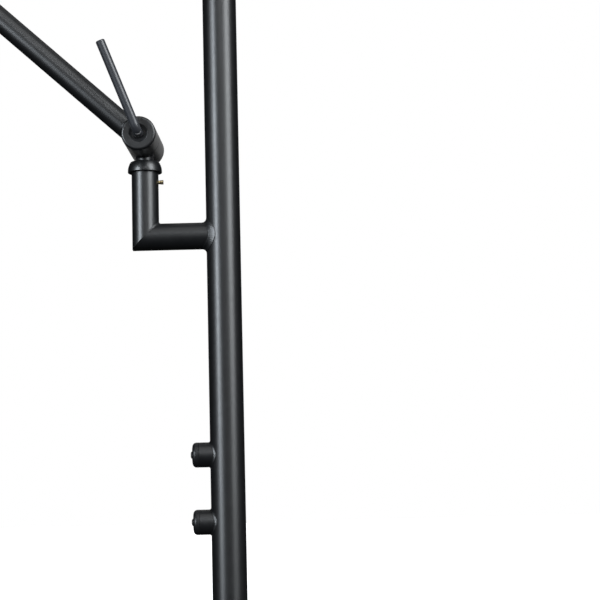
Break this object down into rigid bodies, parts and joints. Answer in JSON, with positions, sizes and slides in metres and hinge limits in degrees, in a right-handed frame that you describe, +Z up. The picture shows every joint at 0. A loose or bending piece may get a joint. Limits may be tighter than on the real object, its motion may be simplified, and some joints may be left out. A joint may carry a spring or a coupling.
{
  "type": "boom swivel bracket",
  "caption": "Mast with a welded side arm and socket carrying a pan and tilt swivel head, a boom tube and a long clamp lever.",
  "frame": {"origin": "centre of the mast tube's lower mouth", "axes": "+Z up the mast, -X towards the side arm and boom, -Y the clamp lever side"},
  "size_m": [0.4447, 0.1675, 1],
  "materials": {
    "powder_black": "satin black powder coat, fine orange peel",
    "lever_black": "semi-gloss black coat on a round bar",
    "dome_black": "smoother semi-gloss black coat on turned parts",
    "stem_black": "blackened turned steel",
    "black_screw": "black oxide",
    "yellow_zinc": "yellow passivated zinc plate",
    "plain_steel": "plain turned steel",
    "bronze": "sintered bronze",
    "nylon": "natural nylon",
    "friction_lining": "moulded friction lining",
    "cap_plastic": "moulded black plastic, satin"
  },
  "bodies": {
    "mast": {"mast_tube": "powder_black", "arm_tube": "powder_black", "socket_tube": "powder_black", "mitre_weld": "powder_black", "saddle_weld": "powder_black", "upper_boss": "powder_black", "lower_boss": "powder_black", "upper_boss_weld": "powder_black", "lower_boss_weld": "powder_black", "upper_boss_cap": "cap_plastic", "lower_boss_cap": "cap_plastic", "upper_boss_screw": "black_screw", "lower_boss_screw": "black_screw", "upper_bush": "bronze", "lower_bush": "bronze"},
    "pan_screw": {"pan_lock_screw": "yellow_zinc"},
    "head": {"thrust_washer": "nylon", "swivel_stem": "stem_black", "dome_collar": "dome_black", "rear_knuckle": "powder_black", "neck_weld": "powder_black", "thread_insert": "bronze", "friction_disc": "friction_lining", "disc_pins": "plain_steel", "rear_plug": "cap_plastic"},
    "boom": {"front_knuckle": "powder_black", "knuckle_bush": "bronze", "disc_spring": "plain_steel", "boom_tube": "powder_black", "boom_weld": "powder_black"},
    "clamp_collar": {"clamp_washer": "dome_black"},
    "lever": {"clamp_bolt": "plain_steel", "lever_bar": "lever_black", "lever_grub_screw": "black_screw", "jam_nut": "plain_steel"}
  },
  "joints": [
    {"name": "head_pan", "type": "hinge", "parent": "mast", "child": "head", "pos_m": [-0.11, 0, 0.6795], "axis": [0, 0, 1], "range_deg": [-150, 75]},
    {"name": "pan_screw_travel", "type": "slide", "parent": "mast", "child": "pan_screw", "axis": [1, 0, 0], "range_m": [0, 0.0025]},
    {"name": "boom_tilt", "type": "hinge", "parent": "head", "child": "boom", "pos_m": [-0.1122, -0.036, 0.7175], "axis": [0, 1, 0], "range_deg": [-77, 47.5]},
    {"name": "clamp_travel", "type": "slide", "parent": "head", "child": "clamp_collar", "axis": [0, -1, 0], "range_m": [0, 0.0006]},
    {"name": "lever_turn", "type": "hinge", "parent": "clamp_collar", "child": "lever", "pos_m": [-0.1122, -0.069, 0.7175], "axis": [0, -1, 0], "range_deg": [0, 120]}
  ],
  "couplings": [
    {"joint": "clamp_travel", "follows": "lever_turn", "m_per_rad": 0.0002785}
  ]
}
